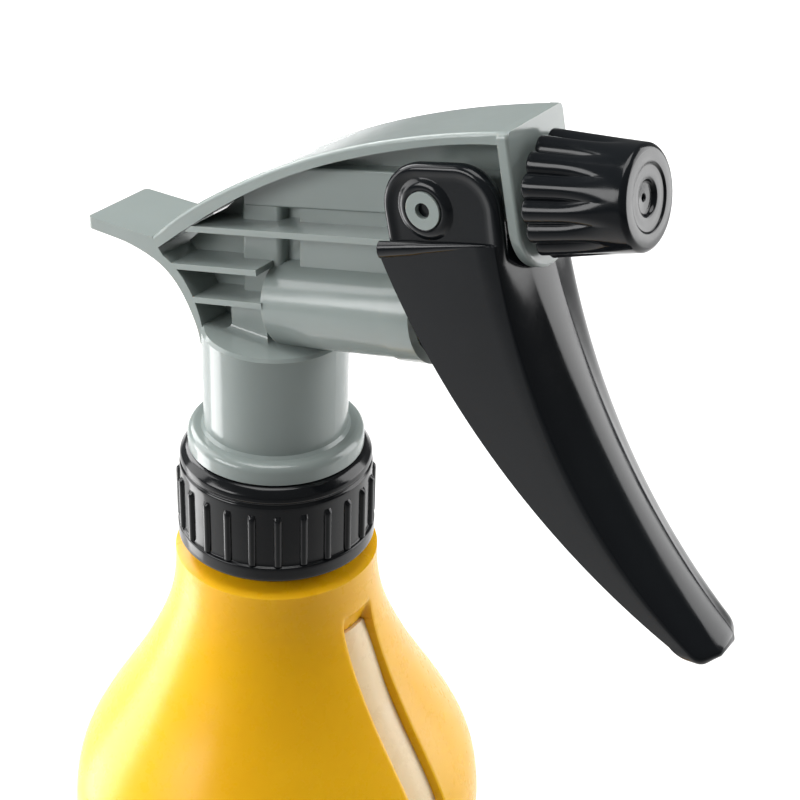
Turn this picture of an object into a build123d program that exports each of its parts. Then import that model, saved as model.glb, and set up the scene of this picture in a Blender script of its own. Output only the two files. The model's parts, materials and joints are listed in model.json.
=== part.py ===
"""Hand mister: a round squeeze-trigger pump sprayer on a one-piece plastic bottle.

Frame: millimetres, +Z up along the bottle's axis, origin at the centre of the bottle's base,
+X towards the nozzle. The spray head's working parts lie along a second axis, u, that climbs
towards the nozzle at head_tilt, and v is square to it in the same upright plane.
"""
import os
from math import cos, pi, radians, sin, sqrt

from build123d import *

os.makedirs("parts", exist_ok=True)

# ---------------------------------------------------------------- driving dimensions
rim_z = 190.0               # height of the closure's lower rim, the datum of the spray head
head_tilt = 12.5            # degrees that the nozzle axis climbs towards the front

# bottle
bottle_r = 38.0
bottle_wall = 1.5
base_corner_r = 6.0
shoulder_r = 17.6           # where the shoulder meets the closure
finish_r = 12.4             # neck finish under the thread
finish_bore_r = 10.6
finish_top_z = rim_z + 13.4
thread_pitch = 4.233        # six threads per inch
thread_depth = 1.2
strip_turn = -2.0           # degrees about Z from the nozzle plane
strip_half_width = 3.3
strip_depth = 1.6           # the view strip lies this far below the bottle's surface
strip_low_z = 16.0
strip_high_z = rim_z - 14.2
scoop_high_z = rim_z - 8.5

# closure
cap_r = 17.0
cap_waist_r = 16.45
cap_top_r = 15.3
cap_height = 17.8
cap_bore_r = 14.1
cap_hole_r = 11.7
cap_roof_z = rim_z + 15.6
grip_count = 24
grip_turn = 8.0
grip_width = 1.3
grip_low = 2.8
grip_high = 12.7

# sprayer body
body_half = 7.4             # half width of the roof, ribs and back plate
skin = 1.9
web_half = 0.8
panel_half = 2.5
rib_thickness = 1.0
top_rib_v = 57.3
middle_rib_v = 50.65
low_rib_v = 45.05
neck_r = 12.13
neck_bore_r = 10.2
neck_top_z = rim_z + 39.5
flange_r = 14.9
flange_low_z = rim_z + 17.9
flange_high_z = rim_z + 21.3
spigot_r = 11.4
spigot_low_z = rim_z + 15.4
nozzle_v = 63.5             # height of the discharge axis over the datum, square to u
discharge_half = 3.3        # half height and half width of the square discharge duct
column_x = -0.7             # centre of the intake column
column_length = 7.9
column_width = 5.7
foot_rear_x = -4.8          # foot of the intake column, on top of the neck
foot_front_x = 2.2
foot_half = 5.2
foot_flare_r = 1.2
passage_r = 1.5
plate_back_u = 61.1
plate_front_u = 62.8
plate_half = 7.9
plate_drop = 2.75           # centre of the plate's round foot below the discharge axis
plate_rise = 11.0

# pump
pump_v = 43.35
pump_r = 7.4
pump_rear_u = 12.6
pump_mouth_u = 41.0
collar_u = 36.0
collar_r = 7.7
pump_bore_r = 6.0
pump_floor_u = 14.6
piston_rear_u = 24.0
piston_head_end_u = 33.0
piston_nose_u = 50.05
piston_r = 5.93
rod_r = 4.6
spring_pocket_r = 3.7
spring_pocket_end_u = 39.5
seal_r = 5.97
seal_groove_r = 4.7
seal_width = 1.7
seal_us = (25.2, 30.1)      # rear face of each piston seal

# trigger
pin_u = 48.5
pin_r = 2.8
pin_bore_r = 1.2
pin_end = 9.95
ear_in = 8.0
ear_out = 9.3
ear_r = 7.3
lever_half = 9.7            # at the top, outside
lever_tip_half = 6.4
lever_wall = 1.4
lever_flat = 2.5            # half width of the lever's flat front
lug_r = 1.8
lug_ahead = 3.5             # push lug's centre ahead of the pin
lug_half = 3.5

# nozzle
nozzle_back_u = 64.2
nozzle_front_u = 79.2
nozzle_base_r = 8.9
nozzle_front_r = 7.6
lobe_count = 14
lobe_proud = 0.45
lobe_rear_r = 1.35
lobe_front_r = 0.7
lobe_sink = 0.5             # the lobe's front end lies this far inside the cone
lobe_length = 9.5
nozzle_bore_r = 4.75
nozzle_skirt_bore_r = 6.3
nozzle_seat_u = 75.2        # inner face that the nozzle gasket lies on
orifice_r = 0.4
ring_outer_r = 4.8          # shallow ring groove in the nozzle's front
ring_inner_r = 2.9
dimple_r = 2.3
tip_boss_r = 5.6
tip_thread_r = 4.6
tip_end_u = 74.6
tip_bore_r = 2.7
nozzle_pitch = 1.8

# tube adapter and dip tube
adapter_flange_r = 12.9
adapter_flange_low_z = rim_z + 14.3
adapter_plug_r = 10.1
adapter_stem_r = 4.4
adapter_low_z = rim_z - 6.0
tube_r = 3.0
tube_bore_r = 2.1
tube_low_z = 12.0
tube_high_z = rim_z + 4.0
ball_r = 2.0
riser_r = 2.8               # the adapter's riser up to the intake column
valve_low_z = rim_z + 5.0   # the inlet valve's chamber
valve_high_z = rim_z + 12.4
valve_seat_r = 1.3
cage_low_z = rim_z + 10.2
strainer_r = 4.4
strainer_length = 14.0

c = cos(radians(head_tilt))
s = sin(radians(head_tilt))


def lift(x, z):
    """A point of the upright middle plane, z over the closure's rim, as side-plane x and y."""
    return (x, z + rim_z)


def along(u, v):
    """A point given along and square to the tilted axis, as side-plane x and y."""
    return (u * c - v * s, u * s + v * c + rim_z)


def tilted(u, v=nozzle_v):
    """Plane square to the tilted axis, facing the nozzle end, with its origin at (u, v)."""
    x, z = along(u, v)
    return Plane(origin=(x, 0, z), x_dir=(0, 1, 0), z_dir=(c, 0, s))


side = Plane.XZ             # looking along +Y, so side-plane x is X and side-plane y is Z


# ---------------------------------------------------------------- bottle
def bottle_solid(inset, top_z, neck_radius):
    """The bottle as one filled turning, drawn in by inset, with a straight neck to top_z."""
    with BuildPart() as turned:
        with BuildSketch(side):
            with BuildLine():
                low = inset
                body = bottle_r - inset
                corner = base_corner_r - inset
                start = (body, rim_z - 60)
                flank = Spline(
                    start,
                    (36.9 - inset, rim_z - 51),
                    (33.4 - inset, rim_z - 43),
                    (24.6 - inset, rim_z - 28),
                    (19.1 - inset, rim_z - 15),
                    (shoulder_r - inset, rim_z - 3),
                    tangents=[(0, 1), (0, 1)],
                )
                ledge = (neck_radius, rim_z - 0.6 - inset)
                turns = [(0, 1), (-1, 0)]
                shoulder = Spline(flank @ 1, ledge, tangents=turns, tangent_scalars=[0.8, 0.8])
                Polyline(shoulder @ 1, (neck_radius, top_z), (0, top_z), (0, low), (body - corner, low))
                RadiusArc((body - corner, low), (body, low + corner), -corner)
                Line((body, low + corner), start)
            make_face()
        revolve(axis=Axis.Z)
    return turned.part


def strip_block(half_width, low_z, high_z):
    """A block that reaches out over the view strip's side of the bottle."""
    middle = (low_z + high_z) / 2
    block = Box(60, 2 * half_width, high_z - low_z, align=(Align.MIN, Align.CENTER, Align.CENTER))
    return block.moved(Location((6, 0, middle))).moved(Location((0, 0, 0), (0, 0, strip_turn)))


def helix_ridge(radius, root_width, crest_width, depth, low_z, turns, outward):
    """A screw thread's ridge, swept along a right-hand helix."""
    with BuildPart() as ridge:
        with BuildLine() as path:
            Helix(pitch=thread_pitch, height=thread_pitch * turns, radius=radius, center=(0, 0, low_z))
        face_dir = path.line % 0
        x_dir = (1, 0, 0) if outward else (-1, 0, 0)
        with BuildSketch(Plane(origin=path.line @ 0, x_dir=x_dir, z_dir=face_dir)):
            with BuildLine():
                Polyline(
                    (-0.3, -root_width / 2),
                    (-0.3, root_width / 2),
                    (depth, crest_width / 2),
                    (depth, -crest_width / 2),
                    close=True,
                )
            make_face()
        sweep(is_frenet=True)
    return ridge.part


outer_form = bottle_solid(0, finish_top_z, finish_r)
floor_form = bottle_solid(strip_depth, finish_top_z - 10, finish_bore_r)
cavity_form = bottle_solid(bottle_wall, finish_top_z + 5, finish_bore_r)
behind_form = bottle_solid(strip_depth + bottle_wall, finish_top_z - 12, finish_bore_r - 1)

with BuildPart() as recess:
    with BuildSketch(side):
        with BuildLine():
            Polyline(
                (60, strip_low_z),
                (20, strip_low_z),
                (12, strip_high_z + 0.2),
                (16.4, strip_high_z + 0.2),
                (18.4, scoop_high_z),
                (60, scoop_high_z),
                close=True,
            )
        make_face()
    extrude(amount=strip_half_width, both=True)
recess_block = recess.part.moved(Location((0, 0, 0), (0, 0, strip_turn))) - floor_form

bottle_ridge = helix_ridge(finish_r, 1.9, 0.9, thread_depth, rim_z + 4.2, 1.2, True)
backing_form = floor_form - behind_form
backing_block = strip_block(strip_half_width + bottle_wall, strip_low_z - 2, strip_high_z + 6)
backing = backing_block & (outer_form - behind_form)
window = strip_block(strip_half_width, strip_low_z, strip_high_z) & backing_form

with BuildPart() as bottle:
    add(outer_form)
    add(cavity_form, mode=Mode.SUBTRACT)
    add(backing)
    add(recess_block, mode=Mode.SUBTRACT)
    add(window, mode=Mode.SUBTRACT)
    add(bottle_ridge)
bottle.part.label = "bottle"
export_step(bottle.part, "parts/bottle.step")

with BuildPart() as view_strip:
    add(window)
view_strip.part.label = "view_strip"
export_step(view_strip.part, "parts/view_strip.step")

# ---------------------------------------------------------------- screw closure
with BuildPart() as grip:
    with BuildSketch(Plane.XY.offset(rim_z + grip_low - 0.2)):
        with Locations((cap_r - 0.75, 0)):
            RectangleRounded(1.5, grip_width, 0.3)
    extrude(amount=grip_high - grip_low)
    fillet(grip.faces().sort_by(Axis.Z)[-1].edges().filter_by(Axis.Y).sort_by(Axis.X)[-1], 0.5)

cap_ridge = helix_ridge(cap_bore_r, 1.9, 0.9, thread_depth, rim_z + 4.2 + thread_pitch / 2, 1.0, False)

with BuildPart() as screw_cap:
    with BuildSketch(side):
        with BuildLine():
            top = rim_z + cap_height
            band_top = rim_z + grip_low
            Polyline(
                (cap_bore_r, rim_z),
                (cap_r - 0.4, rim_z),
                (cap_r, rim_z + 0.4),
                (cap_r, band_top),
                (cap_waist_r, band_top + 0.15),
                (cap_waist_r, rim_z + 14.4),
                (cap_waist_r - 0.35, rim_z + 14.7),
                (cap_waist_r - 0.35, rim_z + 15.0),
                (cap_waist_r - 0.1, rim_z + 15.3),
            )
            RadiusArc((cap_waist_r - 0.1, rim_z + 15.3), (cap_top_r - 0.9, top), -2.4)
            Polyline(
                (cap_top_r - 0.9, top),
                (cap_hole_r, top),
                (cap_hole_r, cap_roof_z),
                (cap_bore_r, cap_roof_z),
                (cap_bore_r, rim_z),
            )
        make_face()
    revolve(axis=Axis.Z)
    for number in range(grip_count):
        turn = grip_turn + number * 360 / grip_count
        add(grip.part.moved(Location((0, 0, 0), (0, 0, turn))))
    add(cap_ridge)
screw_cap.part.label = "screw_cap"
export_step(screw_cap.part, "parts/screw_cap.step")

# ---------------------------------------------------------------- neck gasket
with BuildPart() as neck_gasket:
    with BuildSketch(Plane.XY.offset(finish_top_z)):
        Circle(adapter_flange_r - 0.3)
        Circle(adapter_plug_r - 0.9, mode=Mode.SUBTRACT)
    extrude(amount=adapter_flange_low_z - finish_top_z)
neck_gasket.part.label = "neck_gasket"
export_step(neck_gasket.part, "parts/neck_gasket.step")

# ---------------------------------------------------------------- sprayer body
with BuildPart() as roof:
    with BuildSketch(side):
        with BuildLine():
            crest = Spline(
                lift(-19.4, 52.5),
                lift(-12.6, 58.7),
                lift(-0.7, 67.05),
                lift(11, 73.8),
                lift(26.4, 80.6),
                along(plate_front_u, nozzle_v + plate_rise),
            )
            Line(crest @ 1, along(plate_front_u, nozzle_v + plate_rise - skin))
            Spline(
                along(plate_front_u, nozzle_v + plate_rise - skin),
                lift(36.15, 82.3),
                lift(26.5, 78.9),
                lift(4.9, 68.4),
                lift(-6.6, 60.4),
                lift(-19.0, 50.2),
            )
            Line(lift(-19.0, 50.2), crest @ 0)
        make_face()
    extrude(amount=body_half, both=True)
    crown = roof.edges().filter_by(lambda edge: edge.length > 60).sort_by(Axis.Z)[-2:]
    fillet(crown, 0.6)

with BuildPart() as tail:
    with BuildSketch(side):
        with BuildLine():
            Polyline(lift(-33.3, 50.3), lift(-33.3, 52.3), lift(-19.4, 52.5), lift(-17.2, 49.8))
            Spline(
                lift(-17.2, 49.8),
                lift(-13.5, 47.3),
                lift(-10.8, 43.4),
                lift(-9.2, 38.6),
                lift(-8.9, 36.0),
                tangents=[(1, -0.35), (0, -1)],
            )
            Polyline(lift(-8.9, 36.0), lift(-9.8, 36.0))
            Spline(
                lift(-9.8, 36.0),
                lift(-11.4, 40.9),
                lift(-13.8, 44.8),
                lift(-17.8, 48.1),
                lift(-23.0, 49.7),
                lift(-33.3, 50.3),
                tangents=[(-0.1, 1), (-1, 0.03)],
            )
        make_face()
    extrude(amount=body_half, both=True)
    rear_corners = tail.faces().sort_by(Axis.X)[0].edges().filter_by(Axis.Z)
    fillet(rear_corners, 0.8)

with BuildPart() as inside:
    with BuildSketch(side):
        with BuildLine():
            Polyline(
                lift(-17.4, 50.6),
                lift(-6.6, 61.0),
                lift(4.9, 69.4),
                lift(26.5, 79.9),
                along(plate_back_u + 0.3, nozzle_v + plate_rise - 1.0),
                along(plate_back_u + 0.3, nozzle_v - 3.0),
                along(pump_mouth_u + 8, nozzle_v - 7.0),
                along(pump_mouth_u - 1.0, nozzle_v - 7.0),
                along(pump_mouth_u - 1.0, pump_v),
                along(pump_rear_u + 3, pump_v),
                lift(3.0, 38.0),
                lift(-9.6, 38.0),
                lift(-11.4, 43.4),
                lift(-14.6, 48.0),
                close=True,
            )
        make_face()
    extrude(amount=body_half, both=True)


def rib(v, front_u):
    """A level stiffening rib along the tilted axis, trimmed to the inside of the shell."""
    with BuildPart() as bar:
        with BuildSketch(side):
            with BuildLine():
                low = v - rib_thickness / 2
                high = v + rib_thickness / 2
                Polyline(
                    along(-14, low), along(front_u, low), along(front_u, high), along(-14, high), close=True
                )
            make_face()
        extrude(amount=body_half, both=True)
        add(inside.part, mode=Mode.INTERSECT)
    return bar.part


def panel(corners, half):
    """A flat panel of the middle web, with its corners in the side plane."""
    with BuildPart() as sheet:
        with BuildSketch(side):
            with BuildLine():
                Polyline(*corners, close=True)
            make_face()
        extrude(amount=half, both=True)
    return sheet.part


ribs = [rib(top_rib_v, 50.0), rib(middle_rib_v, pump_rear_u + 0.5), rib(low_rib_v, pump_rear_u + 0.3)]
web_corners = [
    lift(-17.0, 50.2), lift(-6.6, 60.6), lift(4.9, 68.8), lift(26.5, 79.3),
    along(plate_back_u + 0.3, nozzle_v + plate_rise - 1.2), along(plate_back_u + 0.3, nozzle_v),
    along(pump_mouth_u + 8, nozzle_v), along(pump_mouth_u + 8, 57.3), along(pump_mouth_u - 1.5, 57.3),
    along(pump_mouth_u - 1.5, pump_v + 5), along(pump_rear_u + 4, pump_v + 5), lift(4.0, 39.0),
    lift(-9.4, 39.0), lift(-11.2, 42.6), lift(-14.0, 47.0),
]
web = panel(web_corners, web_half)
panel_corners = [
    lift(6.8, 68.0), along(50.0, nozzle_v + 3), along(50.0, 57.3), along(pump_mouth_u - 1.5, 57.3),
    along(pump_mouth_u - 1.5, pump_v + 6), lift(6.8, 49.0),
]
thick_panel = panel(panel_corners, panel_half)

with BuildPart() as column:
    with BuildSketch(Plane.XY.offset(neck_top_z - 0.5)):
        with Locations((column_x, 0)):
            RectangleRounded(column_length, column_width, 1.0)
    extrude(amount=32)
    add(inside.part, mode=Mode.INTERSECT)

duct_corners = [
    along(10.0, nozzle_v - discharge_half), along(plate_back_u + 0.3, nozzle_v - discharge_half),
    along(plate_back_u + 0.3, nozzle_v + discharge_half), along(10.0, nozzle_v + discharge_half),
]
with BuildPart() as discharge:
    add(panel(duct_corners, discharge_half))
    fillet(discharge.edges().filter_by(Axis((0, 0, 0), (c, 0, s))), 0.4)
    add(inside.part, mode=Mode.INTERSECT)

foot_block = [
    lift(foot_rear_x, 38.9), lift(foot_front_x, 38.9),
    along(pump_rear_u, low_rib_v), along(pump_rear_u - 7.8, low_rib_v),
]
foot_ground = [
    lift(foot_rear_x - 2, 38.6), lift(foot_front_x + 2, 38.6), lift(foot_front_x + 2, 39.5), lift(foot_rear_x - 2, 39.5),
]
with BuildPart() as foot:
    add(panel(foot_ground, foot_half + 2))
    add(panel(foot_block, foot_half))
    fillet(foot.edges().filter_by_position(Axis.Z, neck_top_z - 0.01, neck_top_z + 0.01)
           .filter_by(lambda edge: edge.length < 2 * foot_half + 0.1), foot_flare_r)

front_plane = tilted(plate_back_u)
with BuildPart() as front_plate:
    with BuildSketch(front_plane):
        with BuildLine():
            Polyline((-plate_half, -plate_drop), (-plate_half, plate_rise), (plate_half, plate_rise),
                     (plate_half, -plate_drop))
            RadiusArc((plate_half, -plate_drop), (-plate_half, -plate_drop), plate_half)
        make_face()
    extrude(amount=plate_front_u - plate_back_u)
    fillet(front_plate.edges().filter_by(lambda edge: abs(edge.length - (plate_front_u - plate_back_u)) < 0.01)
           .sort_by(Axis.Z)[-2:], 1.0)
    fillet(front_plate.faces().sort_by(Axis((0, 0, 0), (c, 0, s)))[-1].edges(), 0.5)

with BuildPart() as sprayer_body:
    add(roof.part)
    add(tail.part)
    add(web)
    add(thick_panel)
    add(ribs)
    add(front_plate.part)
    # neck, flange and spigot
    with BuildSketch(side):
        with BuildLine():
            Polyline(
                (0, spigot_low_z),
                (spigot_r, spigot_low_z),
                (spigot_r, flange_low_z),
                (flange_r, flange_low_z),
                (flange_r, flange_high_z - 1.4),
            )
            RadiusArc((flange_r, flange_high_z - 1.4), (flange_r - 1.4, flange_high_z), -1.4)
            Polyline(
                (flange_r - 1.4, flange_high_z),
                (neck_r + 0.5, flange_high_z),
                (neck_r, flange_high_z + 0.5),
                (neck_r, neck_top_z - 0.5),
                (neck_r - 0.5, neck_top_z),
                (0, neck_top_z),
                (0, spigot_low_z),
            )
        make_face()
    revolve(axis=Axis.Z)
    add(column.part)
    add(foot.part)
    # discharge duct, pump cylinder and its collar
    add(discharge.part)
    with BuildSketch(tilted(plate_front_u - 0.5)):
        Circle(tip_boss_r)
    extrude(amount=1.2)
    with BuildSketch(tilted(plate_front_u)):
        Circle(tip_thread_r)
    extrude(amount=tip_end_u - plate_front_u)
    with BuildSketch(tilted(pump_rear_u, pump_v)):
        Circle(pump_r)
    extrude(amount=pump_mouth_u - pump_rear_u)
    with BuildSketch(tilted(collar_u, pump_v)):
        Circle(collar_r)
    extrude(amount=pump_mouth_u - collar_u)
    # pivot stubs for the trigger
    pin_x, pin_z = along(pin_u, nozzle_v)
    with BuildSketch(Plane(origin=(pin_x, pin_end, pin_z), x_dir=(1, 0, 0), z_dir=(0, -1, 0))):
        Circle(pin_r)
    extrude(amount=2 * pin_end)
    with BuildSketch(Plane(origin=(pin_x, 6.9, pin_z), x_dir=(1, 0, 0), z_dir=(0, -1, 0))):
        Circle(pin_r + 1.4)
    extrude(amount=13.8)
    # hollows: neck, pump bore, passages, nozzle tip and pin bores
    with BuildSketch(Plane.XY.offset(spigot_low_z)):
        Circle(neck_bore_r)
    extrude(amount=neck_top_z - 2 - spigot_low_z, mode=Mode.SUBTRACT)
    with BuildSketch(tilted(pump_floor_u, pump_v)):
        Circle(pump_bore_r)
    extrude(amount=pump_mouth_u - pump_floor_u + 2, mode=Mode.SUBTRACT)
    with BuildSketch(Plane.XY.offset(neck_top_z - 4)):
        Circle(passage_r)
    extrude(amount=29, mode=Mode.SUBTRACT)
    with BuildSketch(tilted(15.5)):
        Circle(passage_r)
    extrude(amount=tip_end_u - 15.5 + 1, mode=Mode.SUBTRACT)
    with BuildSketch(tilted(66.5)):
        Circle(tip_bore_r)
    extrude(amount=tip_end_u - 66.5 + 1, mode=Mode.SUBTRACT)
    for sign in (-1, 1):
        pin_face = Plane(origin=(pin_x, sign * (pin_end + 0.1), pin_z), x_dir=(1, 0, 0), z_dir=(0, -sign, 0))
        with BuildSketch(pin_face):
            Circle(pin_bore_r)
        extrude(amount=pin_end - discharge_half - 0.4, mode=Mode.SUBTRACT)
sprayer_body.part.label = "sprayer_body"
export_step(sprayer_body.part, "parts/sprayer_body.step")

# ---------------------------------------------------------------- tube adapter, inlet valve, dip tube
with BuildPart() as tube_adapter:
    with BuildSketch(side):
        with BuildLine():
            Polyline(
                (tube_r, adapter_low_z),
                (adapter_stem_r, adapter_low_z),
                (adapter_stem_r, adapter_flange_low_z),
                (adapter_flange_r, adapter_flange_low_z),
                (adapter_flange_r, spigot_low_z),
                (adapter_plug_r, spigot_low_z),
                (adapter_plug_r, rim_z + 25),
                (adapter_plug_r - 1.2, rim_z + 25),
                (adapter_plug_r - 1.2, spigot_low_z + 0.6),
                (riser_r, spigot_low_z + 0.6),
                (riser_r, neck_top_z - 2.1),
                (passage_r, neck_top_z - 2.1),
                (passage_r, valve_high_z),
                (ball_r + 0.5, valve_high_z),
                (ball_r + 0.5, valve_low_z),
                (valve_seat_r, valve_low_z),
                (valve_seat_r, tube_high_z),
                (tube_r, tube_high_z),
                close=True,
            )
        make_face()
    revolve(axis=Axis.Z)
tube_adapter.part.label = "tube_adapter"
export_step(tube_adapter.part, "parts/tube_adapter.step")

ball_rest_z = valve_low_z + 0.03 + sqrt(ball_r**2 - valve_seat_r**2)
with BuildPart() as inlet_ball:
    with Locations((0, 0, ball_rest_z)):
        Sphere(ball_r)
inlet_ball.part.label = "inlet_ball"
export_step(inlet_ball.part, "parts/inlet_ball.step")

with BuildPart() as ball_cage:
    with BuildSketch(Plane.XY.offset(cage_low_z)):
        Circle(ball_r + 0.48)
        Circle(ball_r - 0.4, mode=Mode.SUBTRACT)
    extrude(amount=2.15)
    with BuildSketch(Plane.XY.offset(cage_low_z)):
        Rectangle(2 * ball_r, 0.8)
    extrude(amount=1.2)
ball_cage.part.label = "ball_cage"
export_step(ball_cage.part, "parts/ball_cage.step")

with BuildPart() as dip_tube:
    with BuildSketch(Plane.XY.offset(tube_low_z)):
        Circle(tube_r)
        Circle(tube_bore_r, mode=Mode.SUBTRACT)
    extrude(amount=tube_high_z - tube_low_z)
dip_tube.part.label = "dip_tube"
export_step(dip_tube.part, "parts/dip_tube.step")

with BuildPart() as strainer:
    with BuildSketch(Plane.XY.offset(tube_low_z - strainer_length / 2)):
        Circle(strainer_r)
    extrude(amount=strainer_length)
    with BuildSketch(Plane.XY.offset(tube_low_z)):
        Circle(tube_r)
    extrude(amount=8, mode=Mode.SUBTRACT)
    with BuildSketch(Plane.XY.offset(tube_low_z - 6)):
        Circle(2.4)
    extrude(amount=7, mode=Mode.SUBTRACT)
    with BuildSketch(Plane.XY.offset(tube_low_z - 5.4)):
        with PolarLocations(3.6, 8):
            Rectangle(3.0, 1.0)
    extrude(amount=4, mode=Mode.SUBTRACT)
strainer.part.label = "strainer"
export_step(strainer.part, "parts/strainer.step")


# ---------------------------------------------------------------- pump
def bar(radius, from_u, to_u, v):
    """A round bar along the tilted axis."""
    with BuildPart() as solid:
        with BuildSketch(tilted(from_u, v)):
            Circle(radius)
        extrude(amount=to_u - from_u)
    return solid.part


def coil(radius, wire_r, from_u, to_u, v, turns):
    """A helical spring along the tilted axis."""
    length = to_u - from_u
    with BuildPart() as spring:
        with BuildLine() as path:
            Helix(pitch=length / turns, height=length, radius=radius)
        with BuildSketch(Plane(origin=path.line @ 0, z_dir=path.line % 0)):
            Circle(wire_r)
        sweep(is_frenet=True)
    return spring.part.moved(tilted(from_u, v).location)


def seal_groove(from_u):
    """The ring of space that a piston seal's groove takes out of the piston's head."""
    to_u = from_u + seal_width
    return bar(piston_r + 1, from_u, to_u, pump_v) - bar(seal_groove_r, from_u, to_u, pump_v)


with BuildPart() as piston:
    add(bar(piston_r, piston_rear_u, piston_head_end_u, pump_v))
    add(bar(rod_r, piston_head_end_u - 1, piston_nose_u, pump_v))
    nose = piston.faces().sort_by(Axis((0, 0, 0), (c, 0, s)))[-1]
    fillet(nose.edges(), 0.8)
    add(bar(spring_pocket_r, piston_rear_u - 1, spring_pocket_end_u, pump_v), mode=Mode.SUBTRACT)
    for seal_u in seal_us:
        add(seal_groove(seal_u), mode=Mode.SUBTRACT)
piston.part.label = "piston"
export_step(piston.part, "parts/piston.step")

for seal_name, seal_u in zip(("piston_seal_rear", "piston_seal_front"), seal_us):
    with BuildPart() as seal:
        add(bar(seal_r, seal_u + 0.05, seal_u + seal_width - 0.05, pump_v))
        fillet(seal.edges(), 0.5)
        add(bar(seal_groove_r + 0.02, seal_u - 1, seal_u + seal_width + 1, pump_v), mode=Mode.SUBTRACT)
    seal.part.label = seal_name
    export_step(seal.part, f"parts/{seal_name}.step")

return_spring = coil(3.1, 0.35, pump_floor_u + 0.45, spring_pocket_end_u - 0.45, pump_v, 10)
return_spring.label = "return_spring"
export_step(return_spring, "parts/return_spring.step")


# ---------------------------------------------------------------- trigger
def curve_point(a, b, c, d, t):
    """The point at t of the cubic Bezier curve with those four control points."""
    weights = ((1 - t) ** 3, 3 * t * (1 - t) ** 2, 3 * t * t * (1 - t), t**3)
    return (
        sum(weight * point[0] for weight, point in zip(weights, (a, b, c, d))),
        sum(weight * point[1] for weight, point in zip(weights, (a, b, c, d))),
    )


lever_front = [lift(45.7, 70.3), lift(54.1, 49.4), lift(66.0, 28.8), lift(85.4, 11.4)]
lever_back = [lift(25.9, 64.5), lift(37.1, 42.8), lift(55.6, 24.4), lift(80.4, 6.8)]
lever_sections = 7
bow_share_top = 0.34        # share of the lever's depth that its bowed front takes, at top and tip
bow_share_tip = 0.55
lever_stations = []
for number in range(lever_sections):
    t = number / (lever_sections - 1)
    half_width = lever_half + (lever_tip_half - lever_half) * (0.35 * t + 0.65 * t**2)
    bow_share = bow_share_top + (bow_share_tip - bow_share_top) * t
    lever_stations.append((curve_point(*lever_front, t), curve_point(*lever_back, t), half_width, bow_share))


def lever_form(wall, beyond):
    """The lever as a loft of bow-fronted sections, drawn in by wall and run back past its edges."""
    with BuildPart() as form:
        for (front_x, front_z), (back_x, back_z), half, share in lever_stations:
            depth = sqrt((back_x - front_x) ** 2 + (back_z - front_z) ** 2)
            reach = ((back_x - front_x) / depth, 0, (back_z - front_z) / depth)
            plane = Plane(origin=(front_x, 0, front_z), x_dir=reach, z_dir=(reach[2], 0, -reach[0]))
            side_half = half - wall
            flat = lever_flat - 0.6 * wall
            bow = share * depth
            end = depth + beyond
            with BuildSketch(plane):
                with BuildLine():
                    Line((wall, -flat), (wall, flat))
                    Spline((wall, flat), (wall + bow, side_half), tangents=[(0.55, 1), (1, 0.02)])
                    Polyline(
                        (wall + bow, side_half), (end, side_half), (end, -side_half), (wall + bow, -side_half)
                    )
                    Spline((wall + bow, -side_half), (wall, -flat), tangents=[(-1, 0.02), (-0.55, 1)])
                make_face()
        loft()
    return form.part


def lever_side(wall):
    """The side outline that rounds the lever's tip, as a slab as wide as the lever."""
    with BuildPart() as slab:
        with BuildSketch(side):
            with BuildLine():
                Polyline(
                    lift(70.0, 4.0),
                    lift(78.6 - wall, 10.0 + wall),
                )
                ThreePointArc(
                    lift(78.6 - wall, 10.0 + wall), lift(83.0 - wall, 10.4 + wall), lift(84.9 - wall, 13.6 + wall)
                )
                Polyline(
                    lift(84.9 - wall, 13.6 + wall),
                    lift(88.0, 16.0),
                    lift(60.0, 90.0),
                    lift(0.0, 90.0),
                    lift(0.0, 4.0),
                    lift(70.0, 4.0),
                )
            make_face()
        extrude(amount=lever_half + 1, both=True)
    return slab.part


lever_outer = lever_form(0, 0) & lever_side(0)
lever_hollow = lever_form(lever_wall, 9) & lever_side(lever_wall * 0.8)

with BuildPart() as trigger:
    add(lever_outer)
    add(lever_hollow, mode=Mode.SUBTRACT)
    # pivot ears
    for sign in (-1, 1):
        with BuildSketch(Plane(origin=(0, sign * ear_in, 0), x_dir=(1, 0, 0), z_dir=(0, -1, 0))):
            with BuildLine():
                Polyline(along(pin_u + 4, 56.0), along(40.4, 55.8), along(pin_u - ear_r, nozzle_v))
                RadiusArc(along(pin_u - ear_r, nozzle_v), along(pin_u - 0.5, 70.1), 7.0)
                Line(along(pin_u - 0.5, 70.1), along(55.0, 70.1))
                RadiusArc(along(55.0, 70.1), along(60.5, 64.0), 6.2)
                Polyline(along(60.5, 64.0), along(60.5, 56.0), along(pin_u + 4, 56.0))
            make_face()
        extrude(amount=-sign * (ear_out - ear_in))
    with BuildSketch(Plane(origin=(pin_x, lever_half + 1, pin_z), x_dir=(1, 0, 0), z_dir=(0, -1, 0))):
        Circle(pin_r + 0.05)
    extrude(amount=2 * lever_half + 2, mode=Mode.SUBTRACT)
    # push lug that bears on the piston's nose
    with BuildSketch(side):
        with BuildLine():
            lug_u = pin_u + lug_ahead
            Polyline(along(lug_u, pump_v + lug_r), along(lug_u + 11, pump_v + lug_r),
                     along(lug_u + 11, pump_v - lug_r), along(lug_u, pump_v - lug_r))
            RadiusArc(along(lug_u, pump_v - lug_r), along(lug_u, pump_v + lug_r), lug_r)
        make_face()
    extrude(amount=lug_half, both=True)
trigger.part.label = "trigger"
export_step(trigger.part, "parts/trigger.step")

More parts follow.
